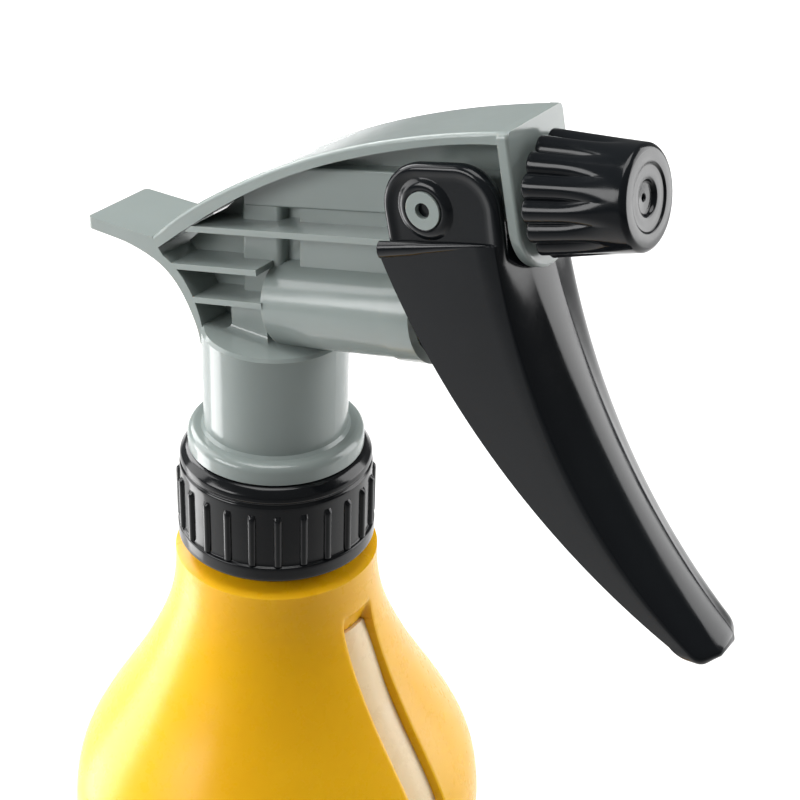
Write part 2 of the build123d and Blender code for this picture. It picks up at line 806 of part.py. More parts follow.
# ---------------------------------------------------------------- nozzle
def nozzle_lobe(turn):
    """One rounded flute of the nozzle's grip, thick at the rear and fading forward."""
    rear_reach = nozzle_base_r - lobe_rear_r + lobe_proud
    front_reach = nozzle_front_r - lobe_sink
    with BuildPart() as lobe:
        with BuildSketch(tilted(nozzle_back_u)):
            with Locations((cos(turn) * rear_reach, sin(turn) * rear_reach)):
                Circle(lobe_rear_r)
        with BuildSketch(tilted(nozzle_back_u + lobe_length)):
            with Locations((cos(turn) * front_reach, sin(turn) * front_reach)):
                Circle(lobe_front_r)
        loft()
    return lobe.part


with BuildPart() as nozzle_cap:
    with BuildSketch(tilted(nozzle_back_u)):
        Circle(nozzle_base_r)
    with BuildSketch(tilted(nozzle_front_u)):
        Circle(nozzle_front_r)
    loft()
    fillet(nozzle_cap.edges().sort_by(Axis((0, 0, 0), (c, 0, s)))[-1], 0.7)
    for number in range(lobe_count):
        add(nozzle_lobe((number + 0.5) * 2 * pi / lobe_count))
    with BuildSketch(tilted(nozzle_back_u - 1)):
        Circle(nozzle_skirt_bore_r)
    extrude(amount=3.0, mode=Mode.SUBTRACT)
    with BuildSketch(tilted(nozzle_back_u - 1)):
        Circle(nozzle_bore_r)
    extrude(amount=nozzle_seat_u - nozzle_back_u + 1, mode=Mode.SUBTRACT)
    with BuildSketch(tilted(nozzle_seat_u - 0.2)):
        Circle(2.4)
    extrude(amount=1.6, mode=Mode.SUBTRACT)
    with BuildSketch(tilted(nozzle_front_u - 0.5)):
        Circle(ring_outer_r)
        Circle(ring_inner_r, mode=Mode.SUBTRACT)
    extrude(amount=1, mode=Mode.SUBTRACT)
    with BuildSketch(tilted(nozzle_front_u - 1.0)):
        Circle(dimple_r)
    extrude(amount=2, mode=Mode.SUBTRACT)
    with BuildSketch(tilted(nozzle_seat_u - 0.2)):
        Circle(orifice_r)
    extrude(amount=6, mode=Mode.SUBTRACT)
nozzle_cap.part.label = "nozzle_cap"
export_step(nozzle_cap.part, "parts/nozzle_cap.step")

with BuildPart() as nozzle_gasket:
    add(bar(tip_thread_r, tip_end_u + 0.08, nozzle_seat_u - 0.04, nozzle_v))
    add(bar(3.0, tip_end_u - 1, 76, nozzle_v), mode=Mode.SUBTRACT)
nozzle_gasket.part.label = "nozzle_gasket"
export_step(nozzle_gasket.part, "parts/nozzle_gasket.step")

# ---------------------------------------------------------------- outlet valve and swirl plug
plug_u = 71.7
outlet_ball_r = 1.9
outlet_ball_u = 66.53 + sqrt(outlet_ball_r**2 - passage_r**2)
with BuildPart() as outlet_ball:
    with Locations(tilted(outlet_ball_u)):
        Sphere(outlet_ball_r)
outlet_ball.part.label = "outlet_ball"
export_step(outlet_ball.part, "parts/outlet_ball.step")

outlet_spring = coil(1.5, 0.2, outlet_ball_u + outlet_ball_r, plug_u - 0.22, nozzle_v, 3)
outlet_spring.label = "outlet_spring"
export_step(outlet_spring, "parts/outlet_spring.step")

with BuildPart() as swirl_plug:
    add(bar(tip_bore_r - 0.03, plug_u, tip_end_u - 0.2, nozzle_v))
    add(bar(0.8, plug_u - 1, tip_end_u - 0.8, nozzle_v), mode=Mode.SUBTRACT)
    with BuildSketch(tilted(tip_end_u - 1.0)):
        Rectangle(2 * tip_bore_r, 0.7)
        Rectangle(0.7, 2 * tip_bore_r)
    extrude(amount=2, mode=Mode.SUBTRACT)
swirl_plug.part.label = "swirl_plug"
export_step(swirl_plug.part, "parts/swirl_plug.step")
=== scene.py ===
"""Hand mister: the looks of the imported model, in metres, in the row's own frame.

The spray head works along a tilted axis. Its pieces are placed with at(u, v, y): u millimetres ahead
along that axis, v above it, y across, all counted from the middle of the closure's lower rim.
"""

import json
from math import asin, cos, pi, radians, sin, sqrt

import bmesh
import bpy
from mathutils import Matrix, Vector


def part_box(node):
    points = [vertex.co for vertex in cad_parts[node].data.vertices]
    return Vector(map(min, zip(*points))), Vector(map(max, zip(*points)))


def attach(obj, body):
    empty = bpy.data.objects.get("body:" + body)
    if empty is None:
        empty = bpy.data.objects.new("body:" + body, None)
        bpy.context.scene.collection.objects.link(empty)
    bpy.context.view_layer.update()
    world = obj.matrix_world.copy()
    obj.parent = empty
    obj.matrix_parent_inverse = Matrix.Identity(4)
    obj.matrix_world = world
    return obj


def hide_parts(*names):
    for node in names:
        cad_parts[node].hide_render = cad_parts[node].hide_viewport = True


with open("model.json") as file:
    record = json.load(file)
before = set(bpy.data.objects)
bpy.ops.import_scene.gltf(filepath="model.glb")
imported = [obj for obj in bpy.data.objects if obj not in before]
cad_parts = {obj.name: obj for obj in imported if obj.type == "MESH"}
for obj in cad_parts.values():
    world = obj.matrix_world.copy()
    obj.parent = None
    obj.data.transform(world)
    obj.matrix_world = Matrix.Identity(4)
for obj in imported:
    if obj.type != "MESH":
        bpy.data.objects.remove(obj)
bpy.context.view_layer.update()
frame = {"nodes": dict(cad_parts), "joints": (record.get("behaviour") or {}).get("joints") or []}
nodes = frame["nodes"]
joints = {joint["name"]: joint for joint in frame["joints"]}

MM = 0.001
rim = Vector((0, 0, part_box("screw_cap")[0].z))
ahead = Vector(joints["nozzle_turn"]["axis"]).normalized()
above = Vector((-ahead.z, 0, ahead.x))
across = Vector((0, 1, 0))


def at(u, v, y=0.0):
    """A point of the spray head, in metres."""
    return rim + ahead * (u * MM) + above * (v * MM) + across * (y * MM)


def head_place(point):
    """How far along and above the tilted axis a point of the frame lies, in millimetres."""
    gap = Vector(point) - rim
    return gap.dot(ahead) / MM, gap.dot(above) / MM


# ---------------------------------------------------------------- materials
def graph(name):
    """A new node material, with its tree's nodes, links and shader."""
    made = bpy.data.materials.new(name)
    made.use_nodes = True
    tree = made.node_tree
    return made, tree.nodes, tree.links, tree.nodes["Principled BSDF"]


def noise(tree_nodes, links, scale, detail, rough=0.5):
    """A noise texture in the object's own coordinates."""
    place = tree_nodes.new("ShaderNodeTexCoord")
    texture = tree_nodes.new("ShaderNodeTexNoise")
    texture.inputs["Scale"].default_value = scale
    texture.inputs["Detail"].default_value = detail
    texture.inputs["Roughness"].default_value = rough
    links.new(place.outputs["Object"], texture.inputs["Vector"])
    return texture


def ramp_between(tree_nodes, links, source, low, high):
    """The source's 0.3 to 0.7 spread over low to high."""
    spread = tree_nodes.new("ShaderNodeMapRange")
    spread.inputs["From Min"].default_value = 0.3
    spread.inputs["From Max"].default_value = 0.7
    spread.inputs["To Min"].default_value = low
    spread.inputs["To Max"].default_value = high
    links.new(source, spread.inputs["Value"])
    return spread.outputs["Result"]


def moulded(name, light, dark, rough, grain, ripple, scuffs, glow=None, polish=0.5):
    """Moulded plastic: slow tone clouds, fine grain, gentle ripple of the mould and faint scuffs.

    light and dark are the two linear tones; rough is the (low, high) roughness; grain and ripple are
    the bump heights in millimetres; scuffs is the share of roughness that fine scratches add; glow is
    the (weight, radius in mm) of the light that the wall lets through; polish is the specular level.
    """
    made, tree_nodes, links, shader = graph(name)
    clouds = noise(tree_nodes, links, 38.0, 3.0)
    tone = tree_nodes.new("ShaderNodeMix")
    tone.data_type = "RGBA"
    tone.inputs["A"].default_value = (*dark, 1)
    tone.inputs["B"].default_value = (*light, 1)
    links.new(ramp_between(tree_nodes, links, clouds.outputs["Fac"], 0.0, 1.0), tone.inputs["Factor"])
    links.new(tone.outputs["Result"], shader.inputs["Base Color"])

    wear = noise(tree_nodes, links, 260.0, 6.0, 0.65)
    base_rough = ramp_between(tree_nodes, links, wear.outputs["Fac"], *rough)
    scratch = noise(tree_nodes, links, 60.0, 9.0, 0.8)
    scratch.inputs["Distortion"].default_value = 1.6
    scuffed = tree_nodes.new("ShaderNodeMath")
    scuffed.operation = "MULTIPLY_ADD"
    scuffed.use_clamp = True
    links.new(ramp_between(tree_nodes, links, scratch.outputs["Fac"], -0.5, 1.0), scuffed.inputs[0])
    scuffed.inputs[1].default_value = scuffs
    links.new(base_rough, scuffed.inputs[2])
    links.new(scuffed.outputs["Value"], shader.inputs["Roughness"])

    waves = noise(tree_nodes, links, 120.0, 1.0)
    wave_bump = tree_nodes.new("ShaderNodeBump")
    wave_bump.inputs["Strength"].default_value = 1.0
    wave_bump.inputs["Distance"].default_value = ripple * MM
    links.new(waves.outputs["Fac"], wave_bump.inputs["Height"])
    grains = noise(tree_nodes, links, 2600.0, 3.0)
    grain_bump = tree_nodes.new("ShaderNodeBump")
    grain_bump.inputs["Strength"].default_value = 1.0
    grain_bump.inputs["Distance"].default_value = grain * MM
    links.new(grains.outputs["Fac"], grain_bump.inputs["Height"])
    links.new(wave_bump.outputs["Normal"], grain_bump.inputs["Normal"])
    links.new(grain_bump.outputs["Normal"], shader.inputs["Normal"])

    shader.inputs["IOR"].default_value = 1.5
    shader.inputs["Specular IOR Level"].default_value = polish
    if glow:
        weight, radius = glow
        shader.inputs["Subsurface Weight"].default_value = weight
        shader.inputs["Subsurface Radius"].default_value = (1.0, 0.75, 0.55)
        shader.inputs["Subsurface Scale"].default_value = radius * MM
    return made


def steel_wire(name):
    """Drawn spring wire: bright metal with fine draw lines."""
    made, tree_nodes, links, shader = graph(name)
    lines = noise(tree_nodes, links, 1500.0, 4.0)
    tone = tree_nodes.new("ShaderNodeMix")
    tone.data_type = "RGBA"
    tone.inputs["A"].default_value = (0.42, 0.42, 0.41, 1)
    tone.inputs["B"].default_value = (0.62, 0.62, 0.60, 1)
    links.new(lines.outputs["Fac"], tone.inputs["Factor"])
    links.new(tone.outputs["Result"], shader.inputs["Base Color"])
    links.new(ramp_between(tree_nodes, links, lines.outputs["Fac"], 0.2, 0.36), shader.inputs["Roughness"])
    shader.inputs["Metallic"].default_value = 1.0
    return made


grey = moulded("grey_polypropylene", (0.262, 0.300, 0.288), (0.240, 0.276, 0.264), (0.13, 0.20),
               0.0008, 0.030, 0.03, glow=(0.16, 1.2))
black = moulded("black_polypropylene", (0.0065, 0.0080, 0.0095), (0.0045, 0.0055, 0.0070), (0.09, 0.16),
                0.0008, 0.024, 0.07, polish=0.29)
closure_black = moulded("black_closure", (0.0065, 0.0075, 0.0085), (0.0045, 0.0052, 0.0062), (0.11, 0.18),
                        0.0010, 0.016, 0.08, polish=0.34)
yellow = moulded("yellow_polyethylene", (0.93, 0.47, 0.0065), (0.90, 0.435, 0.0045), (0.24, 0.31),
                 0.0006, 0.012, 0.03, glow=(0.35, 5.0), polish=0.30)
clear_strip = moulded("clear_strip", (0.88, 0.66, 0.40), (0.84, 0.60, 0.34), (0.20, 0.32),
                      0.0016, 0.030, 0.10, glow=(0.5, 3.0))
natural = moulded("natural_plastic", (0.78, 0.78, 0.74), (0.72, 0.72, 0.67), (0.28, 0.40),
                  0.0016, 0.010, 0.08, glow=(0.4, 2.0))
rubber = moulded("seal_rubber", (0.036, 0.036, 0.038), (0.024, 0.024, 0.026), (0.55, 0.70),
                 0.0030, 0.010, 0.05)
foam = moulded("gasket_foam", (0.70, 0.69, 0.66), (0.62, 0.61, 0.57), (0.60, 0.75), 0.0100, 0.020, 0.05)
wire = steel_wire("spring_wire")
ball_steel = moulded("valve_ball", (0.46, 0.46, 0.45), (0.40, 0.40, 0.39), (0.10, 0.18),
                     0.0005, 0.002, 0.05)
ball_steel.node_tree.nodes["Principled BSDF"].inputs["Metallic"].default_value = 1.0


# ---------------------------------------------------------------- mesh helpers
def finish_piece(name, mesh, body, material, slot, *replaced):
    """Closes a mesh up into a smooth, named piece that rides on a body."""
    mesh.normal_update()
    bmesh.ops.recalc_face_normals(mesh, faces=mesh.faces)
    data = bpy.data.meshes.new(name)
    mesh.to_mesh(data)
    mesh.free()
    piece = bpy.data.objects.new(name, data)
    bpy.context.scene.collection.objects.link(piece)
    for face in data.polygons:
        face.use_smooth = True
    data.set_sharp_from_angle(angle=radians(38))
    data.materials.append(material)
    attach(piece, body)
    if replaced:
        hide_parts(*replaced)
    return piece


def add_rings(mesh, rings, close_around=True, ends=(True, True)):
    """Joins rings of points, each as long as the others, into a skin."""
    rows = [[mesh.verts.new(point) for point in ring] for ring in rings]
    count = len(rows[0])
    for near, far in zip(rows, rows[1:]):
        for i in range(count if close_around else count - 1):
            j = (i + 1) % count
            mesh.faces.new((near[i], near[j], far[j], far[i]))
    for wanted, row in zip(ends, (rows[0], rows[-1])):
        if wanted:
            mesh.faces.new(row)
    return rows


def rounded(points, radius, steps=4):
    """A profile with its corners rounded: each corner is cut back by radius and turned in steps."""
    result = [points[0]]
    for before, corner, after in zip(points, points[1:], points[2:]):
        back = before - corner
        onward = after - corner
        cut = min(radius, 0.45 * back.length, 0.45 * onward.length)
        start = corner + back.normalized() * cut
        end = corner + onward.normalized() * cut
        for k in range(steps + 1):
            t = k / steps
            result.append(start * (1 - t) ** 2 + corner * (2 * t * (1 - t)) + end * t**2)
    result.append(points[-1])
    return result


def smooth(low, high, value):
    """0 below low, 1 above high, and an even S between them."""
    t = min(1.0, max(0.0, (value - low) / (high - low)))
    return t * t * (3 - 2 * t)


def bezier(a, b, c, d, t):
    """A point of the cubic Bezier curve with those four control points."""
    return a * (1 - t) ** 3 + b * (3 * t * (1 - t) ** 2) + c * (3 * t * t * (1 - t)) + d * t**3


def boolean(piece, cutter, operation):
    """Applies an exact boolean to a piece and removes the cutter."""
    change = piece.modifiers.new("cut", "BOOLEAN")
    change.object = cutter
    change.operation = operation
    change.solver = "EXACT"
    with bpy.context.temp_override(object=piece, active_object=piece, selected_objects=[piece]):
        bpy.ops.object.modifier_apply(modifier=change.name)
    bpy.data.objects.remove(cutter)


def loose(mesh):
    """A plain object of a mesh, for use as a boolean's cutter."""
    bmesh.ops.recalc_face_normals(mesh, faces=mesh.faces)
    data = bpy.data.meshes.new("cutter")
    mesh.to_mesh(data)
    mesh.free()
    made = bpy.data.objects.new("cutter", data)
    bpy.context.scene.collection.objects.link(made)
    return made


# ---------------------------------------------------------------- bottle
BOTTLE_R = -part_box("bottle")[0].x / MM
RIM_Z = rim.z / MM
STRIP_TURN = radians(-2.0)
STRIP_HALF = 3.3
STRIP_DEPTH = 1.6
STRIP_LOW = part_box("view_strip")[0].z / MM
STRIP_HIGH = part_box("view_strip")[1].z / MM
SCOOP_HIGH = STRIP_HIGH + 5.7
NECK_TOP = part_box("bottle")[1].z / MM
NECK_R = 12.4
THREAD_PITCH = 4.233
THREAD_DEPTH = 1.2
THREAD_LOW = RIM_Z + 4.2
BOTTLE_THREAD_TURNS = 1.2
WALL = 1.5
SHOULDER_R = 17.6
CORNER_R = 6.0              # bottle's lower corner
SCOOP_FLOOR_R = 16.5        # floor of the scoop above the strip, at its lower end
SCOOP_LEAN = 2.0            # how much farther out the scoop's floor is at its upper end


def hermite(points, per_span):
    """A smooth curve through the points, upright at both ends."""
    slopes = []
    for i in range(len(points)):
        if 0 < i < len(points) - 1:
            slopes.append((points[i + 1] - points[i - 1]) / 2)
        else:
            near = points[1] - points[0] if i == 0 else points[-1] - points[-2]
            slopes.append(Vector((0, near.length)))
    result = []
    for i in range(len(points) - 1):
        for k in range(per_span):
            t = k / per_span
            result.append(points[i] * (2 * t**3 - 3 * t**2 + 1) + slopes[i] * (t**3 - 2 * t**2 + t)
                          + points[i + 1] * (3 * t**2 - 2 * t**3) + slopes[i + 1] * (t**3 - t**2))
    return result + [points[-1]]


def thread_height(turn, z, low_z, turns, depth):
    """How far a right-hand thread stands out at a turn, in radians, and a height."""
    high_z = low_z + THREAD_PITCH * turns
    if z < low_z - 1.2 or z > high_z + 1.2:
        return 0.0
    offset = (z - low_z) / THREAD_PITCH - turn / (2 * pi)
    near = abs(offset - round(offset)) * THREAD_PITCH
    ends = smooth(low_z - 0.9, low_z + 0.4, z) * (1 - smooth(high_z - 0.4, high_z + 0.9, z))
    return depth * (1 - smooth(0.42, 0.95, near)) * ends


def recess_depth(radius, z, w):
    """How deep the strip's recess is at a height and a distance w from its middle line."""
    if z < STRIP_LOW - 2.5 or z > SCOOP_HIGH + 0.5:
        return 0.0
    if z <= STRIP_HIGH:
        depth = STRIP_DEPTH * smooth(STRIP_LOW - 2.2, STRIP_LOW + 0.2, z)
    else:
        climb = (z - STRIP_HIGH) / (SCOOP_HIGH - STRIP_HIGH)
        floor_r = SCOOP_FLOOR_R + SCOOP_LEAN * climb
        depth = max(0.0, radius - floor_r)
    return depth * (1 - smooth(STRIP_HALF - 0.15, STRIP_HALF + 0.75, abs(w)))


def bottle():
    """The blow-moulded bottle with its soft-edged recess, its slot for the strip and its threaded neck."""
    flank = hermite([Vector((r, RIM_Z + z)) for r, z in
                     ((BOTTLE_R, -60.0), (36.9, -51.0), (33.4, -43.0), (24.6, -28.0), (19.1, -15.0),
                      (SHOULDER_R, -3.0))], 10)
    base = [Vector(p) for p in ((0.0, 1.6), (24.0, 1.2), (28.0, 0.0), (33.0, 0.0))]
    corner = [Vector((BOTTLE_R - CORNER_R * (1 - sin(a)), CORNER_R * (1 - cos(a))))
              for a in [k * pi / 16 for k in range(1, 9)]]
    upright = [Vector((BOTTLE_R, z)) for z in
               [STRIP_LOW - 4 + k * 0.8 for k in range(9)] + [STRIP_LOW + 6 + k * 6.6 for k in range(16)]]
    scoop_rows = sorted([STRIP_HIGH - 0.4, STRIP_HIGH - 0.05, STRIP_HIGH, STRIP_HIGH + 0.3]
                        + [STRIP_HIGH + 0.8 + 0.7 * k for k in range(9)])
    ledge_run = SHOULDER_R - NECK_R
    ledge = [Vector((SHOULDER_R - ledge_run * sin(a), RIM_Z - 3.0 + 2.4 * sin(a * 0.5) * 1.41)) for a in
             [k * pi / 20 for k in range(1, 11)]]
    neck = [Vector((NECK_R, z)) for z in [RIM_Z + 0.6 + 0.34 * k for k in range(35)]] + [
        Vector((NECK_R, NECK_TOP - 0.3)), Vector((NECK_R - 0.3, NECK_TOP))]
    flank_dense = []
    for near, far in zip(flank, flank[1:]):
        flank_dense.append(near)
        for z in scoop_rows:
            if near.y < z < far.y:
                flank_dense.append(near + (far - near) * ((z - near.y) / (far.y - near.y)))
    profile = rounded(base, 1.5, 3) + corner + upright[:-1] + flank_dense + [flank[-1]] + ledge + neck
    right_ws = [1.2, 2.4, 3.1, STRIP_HALF, 3.45, 3.65, 3.9, 4.2, 4.6]
    strip_ws = [-w for w in reversed(right_ws)] + [0.0] + right_ws
    around = 132
    mesh = bmesh.new()
    rows = []
    for r, z in profile:
        if r < 0.5:
            rows.append([mesh.verts.new((0, 0, z * MM))])
            continue
        scale = min(1.0, r / 12.0)
        turns = [asin(w * scale / r) for w in strip_ws]
        rest = 2 * pi - 2 * turns[-1]
        turns += [turns[-1] + rest * k / around for k in range(1, around)]
        ring = []
        for turn in turns:
            w = r * sin(turn)
            shrink = recess_depth(r, z, w) if cos(turn) > 0.5 and r > 14 else 0.0
            about = turn + STRIP_TURN
            ridge = 0.0
            if r < NECK_R + 0.1 and z > RIM_Z:
                ridge = thread_height(about, z, THREAD_LOW, BOTTLE_THREAD_TURNS, THREAD_DEPTH)
            reach = (r - shrink + ridge) * MM
            ring.append(mesh.verts.new((reach * cos(about), reach * sin(about), z * MM)))
        rows.append(ring)
    for near, far in zip(rows, rows[1:]):
        if len(near) == 1:
            for i in range(len(far)):
                mesh.faces.new((near[0], far[i], far[(i + 1) % len(far)]))
            continue
        middle_z = (near[0].co.z + far[0].co.z) / 2 / MM
        for i in range(len(near)):
            in_slot = i < len(strip_ws) - 1 and abs(strip_ws[i] + strip_ws[i + 1]) / 2 < STRIP_HALF
            if in_slot and STRIP_LOW < middle_z < STRIP_HIGH:
                continue
            j = (i + 1) % len(near)
            mesh.faces.new((near[i], near[j], far[j], far[i]))
    piece = finish_piece("bottle_shell", mesh, "bottle", yellow, "bottle", "bottle")
    thick = piece.modifiers.new("wall", "SOLIDIFY")
    thick.thickness = WALL * MM
    thick.offset = -1
    return piece


# ---------------------------------------------------------------- closure
def closure():
    """The screw closure with its round-headed grips and its inside thread."""
    cap_r, waist_r, bore_r, hole_r = 17.0, 16.45, 14.1, 11.7
    low, high = 2.8, 12.7
    roof, top = 15.6, 17.8
    groove_r = 16.1
    grip_half, grip_stand = 0.7, 0.62
    outside = [Vector(p) for p in (
        (bore_r, 0.0), (16.7, 0.0), (cap_r, 0.4), (cap_r, low), (waist_r, low + 0.15), (waist_r, 14.4),
        (groove_r, 14.75), (groove_r, 15.05), (16.4, 15.35), (16.25, 16.3), (15.3, 17.4), (14.2, top),
        (hole_r, top), (hole_r, roof), (bore_r, roof),
    )]
    profile = []
    soft = rounded(outside, 0.28, 3)
    for near, far in zip(soft, soft[1:]):
        parts = max(1, int((far - near).length / 0.45))
        profile += [near + (far - near) * (k / parts) for k in range(parts)]
    inner = [Vector((bore_r, roof - 0.4 * k)) for k in range(1, 39)]
    profile += [soft[-1]] + inner
    grips = 24
    steps = (-0.72, -0.62, -0.48, -0.25, 0.0, 0.25, 0.48, 0.62, 0.72, 1.1, 1.7, 2.2, 2.8, 3.3)
    turns = []
    for grip in range(grips):
        turns += [radians(8 + grip * 360 / grips) + step / waist_r for step in steps]
    rings = []
    for r, z in profile:
        ring = []
        for k, turn in enumerate(turns):
            step = steps[k % len(steps)]
            stand = 0.0
            if abs(r - waist_r) < 0.02 and low < z < high and abs(step) < grip_half:
                head = max(0.0, (z - (high - 0.66)) / 0.66)
                room = 1 - (step / grip_half) ** 2 - head**2
                stand = grip_stand * sqrt(room) if room > 0 else 0.0
            ridge = 0.0
            if abs(r - bore_r) < 0.02 and 0.5 < z < 12:
                ridge = thread_height(turn, z + RIM_Z, THREAD_LOW + THREAD_PITCH / 2, 1.0, THREAD_DEPTH)
            reach = (r + stand - ridge) * MM
            ring.append(rim + Vector((reach * cos(turn), reach * sin(turn), z * MM)))
        rings.append(ring)
    mesh = bmesh.new()
    add_rings(mesh, rings + [rings[0]], ends=(False, False))
    bmesh.ops.remove_doubles(mesh, verts=mesh.verts, dist=1e-7)
    return finish_piece("closure_shell", mesh, "closure", closure_black, "closure", "screw_cap")


# ---------------------------------------------------------------- trigger
LEVER_FRONT = [Vector(p) for p in ((46.0, 70.35), (54.1, 49.4), (66.0, 28.8), (83.2, 13.6))]
LEVER_BACK = [Vector(p) for p in ((25.9, 64.5), (37.1, 42.8), (55.6, 24.4), (77.4, 13.1))]
LEVER_WALL = 1.4
LEVER_TOP_HALF = 9.7
LEVER_TIP_HALF = 6.4
FRONT_FLAT = 2.5
BOW_TOP = 0.03
BOW_TIP = 0.53
TIP_REACH = 3.1
TIP_TURNS = 9
LEVER_ROWS = 44
LEDGE_Y = 9.4               # middle of the ledge between ear and lever, from the middle plane
LUG_AHEAD = 3.5             # the push lug's centre ahead of the pin
LUG_V = 43.35               # the piston's axis, which the lug bears on


def lever_span(t, wall):
    """The lever's section at t, drawn in by wall: front and back point, half width and bow depth."""
    front = bezier(*LEVER_FRONT, t)
    back = bezier(*LEVER_BACK, t)
    inward = (back - front).normalized()
    half = LEVER_TOP_HALF + (LEVER_TIP_HALF - LEVER_TOP_HALF) * (0.35 * t + 0.65 * t * t)
    share = BOW_TOP + (BOW_TIP - BOW_TOP) * min(1.0, max(0.0, t))
    past_edge = 12.0 if wall else 0.0
    return front + inward * wall, back + inward * past_edge, half - wall, share * (back - front).length


def lever_ring(front, back, half, bow, flat):
    """One closed section: flat front strip, bowed flanks, straight sides, open-side edge."""
    depth = (back - front).length
    inward = (back - front).normalized()
    outline = []
    bow = min(bow, 0.7 * depth)
    rise = half - flat
    for k in range(15):
        corner = bezier(Vector((0, flat)), Vector((min(0.30 * rise, 0.40 * bow), flat + 0.55 * rise)),
                        Vector((0.45 * bow, half)), Vector((bow, half)), k / 14)
        outline.append((corner.x, corner.y))
    outline += [(bow + (depth - bow) * k / 6, half) for k in range(1, 7)]
    ring = [(front + inward * q, y) for q, y in outline]
    ring += [(front + inward * q, -y) for q, y in reversed(outline)]
    return [rim + Vector((p.x * MM, y * MM, p.y * MM)) for p, y in ring]


def lever_skin(wall):
    """The lever's closed form, drawn in by wall, with a rounded tip."""
    rings = []
    flat = FRONT_FLAT - 0.5 * wall
    reach = TIP_REACH - wall
    top = -0.06 if wall else 0.0
    for row in range(LEVER_ROWS + 1):
        rings.append(lever_ring(*lever_span(top + (1 - top) * row / LEVER_ROWS, wall), flat))
    front, back, half, bow = lever_span(1.0, wall)
    run = (bezier(*LEVER_FRONT, 1.0) - bezier(*LEVER_FRONT, 0.97)).normalized()
    middle = (front + back) / 2
    for k in range(1, TIP_TURNS):
        turn = k / TIP_TURNS * pi / 2
        shrink = cos(turn) ** 0.8
        shift = run * (reach * sin(turn))
        tip_front = middle + (front - middle) * shrink + shift
        tip_back = middle + (back - middle) * shrink + shift
        tip_half = flat + (half - flat) * cos(turn) ** 0.35
        rings.append(lever_ring(tip_front, tip_back, tip_half, bow, flat * cos(turn) ** 0.3))
    mesh = bmesh.new()
    add_rings(mesh, rings)
    return mesh


def ear_outline():
    """The pivot ear's outline in (u, v), from its rear foot over the top to its front foot."""
    rear_u, rear_v, rear_r = 48.0, 63.1, 7.0
    front_u, front_v, front_r = 54.3, 63.9, 6.2
    turns = [k / 12 * pi / 2 for k in range(13)]
    points = [(41.0, 56.2), (41.0, 59.6), (41.0, 63.1)]
    points += [(rear_u - rear_r * cos(turn), rear_v + rear_r * sin(turn)) for turn in turns[1:]]
    points += [(front_u + front_r * sin(turn), front_v + front_r * cos(turn)) for turn in turns]
    points += [(60.5, 60.4), (60.4, 58.0), (60.1, 55.8), (59.4, 53.6)]
    return points


def ear_ring(inset, y, sign):
    """The ear's outline drawn towards its middle by inset, at a distance y from the middle plane."""
    middle_u, middle_v = 51.0, 60.0
    ring = []
    for u, v in ear_outline():
        away_u, away_v = middle_u - u, middle_v - v
        length = sqrt(away_u**2 + away_v**2)
        keep_v = v + away_v / length * inset if v > 56.5 else v
        ring.append(at(u + away_u / length * inset, keep_v, sign * y))
    return ring


def disc_rings(u, v, rows, sign, count=48):
    """Rings about the pin's own axis; rows are (radius, distance from the middle plane)."""
    turns = [k * 2 * pi / count for k in range(count)]
    return [[at(u + r * cos(turn), v + r * sin(turn), sign * y) for turn in turns] for r, y in rows]


def trigger():
    """The lever with its ears, bosses, ledges and push lug."""
    pin_u, pin_v = head_place(joints["trigger_pull"]["pos_m"])
    outer = finish_piece("trigger_lever", lever_skin(0.0), "lever", black, "trigger", "trigger")
    hollow = lever_skin(LEVER_WALL)
    boolean(outer, loose(hollow), "DIFFERENCE")
    details = bmesh.new()
    for sign in (-1, 1):
        # ear with a soft outer edge
        rows = [(0.5, 6.6), (0.1, 7.4), (0.0, 8.1), (0.08, 8.6), (0.26, 8.95), (0.55, 9.18), (0.9, 9.27),
                (1.3, 9.24), (1.7, 9.12), (2.1, 9.06), (2.7, 9.06)]
        add_rings(details, [ear_ring(inset, y, sign) for inset, y in rows])
        # boss round the pin
        boss = [(2.88, 8.9), (2.88, 9.58), (3.0, 9.68), (3.4, 9.7), (3.8, 9.62), (4.15, 9.42), (4.45, 9.15),
                (4.8, 9.0)]
        rings = disc_rings(pin_u, pin_v, boss, sign)
        add_rings(details, rings + [rings[0]], ends=(False, False))
        # tapered ledge between ear and lever
        turns = [k * 2 * pi / 16 for k in range(16)]
        ledge = []
        for row in range(13):
            t = row / 12
            radius = 1.3 * (1 - t) ** 0.6 + 0.05 - (0.14 if 0.4 < t < 0.99 else 0.0)
            u, v = 39.7 + 18.3 * t, 57.0 + 1.7 * t
            ledge.append([
                at(u, v + radius * cos(turn), sign * (LEDGE_Y + 0.75 * radius * sin(turn))) for turn in turns
            ])
        add_rings(details, ledge)
    # push lug behind the lever's front wall
    lug_u, lug_r, lug_half = pin_u + LUG_AHEAD, 1.8, 3.5
    turns = [pi / 2 + k * pi / 12 for k in range(13)]
    outline = [(lug_u + lug_r * cos(turn), LUG_V + lug_r * sin(turn)) for turn in turns]
    outline = [(lug_u + 9, LUG_V + lug_r)] + outline + [(lug_u + 9, LUG_V - lug_r)]
    add_rings(details, [[at(u, v, y) for u, v in outline] for y in (-lug_half, lug_half)])
    bmesh.ops.remove_doubles(details, verts=details.verts, dist=1e-7)
    finish_piece("trigger_ears", details, "lever", black, "trigger")


# ---------------------------------------------------------------- nozzle
NOZZLE_V = 63.5             # height of the nozzle's axis over the closure's rim, square to it


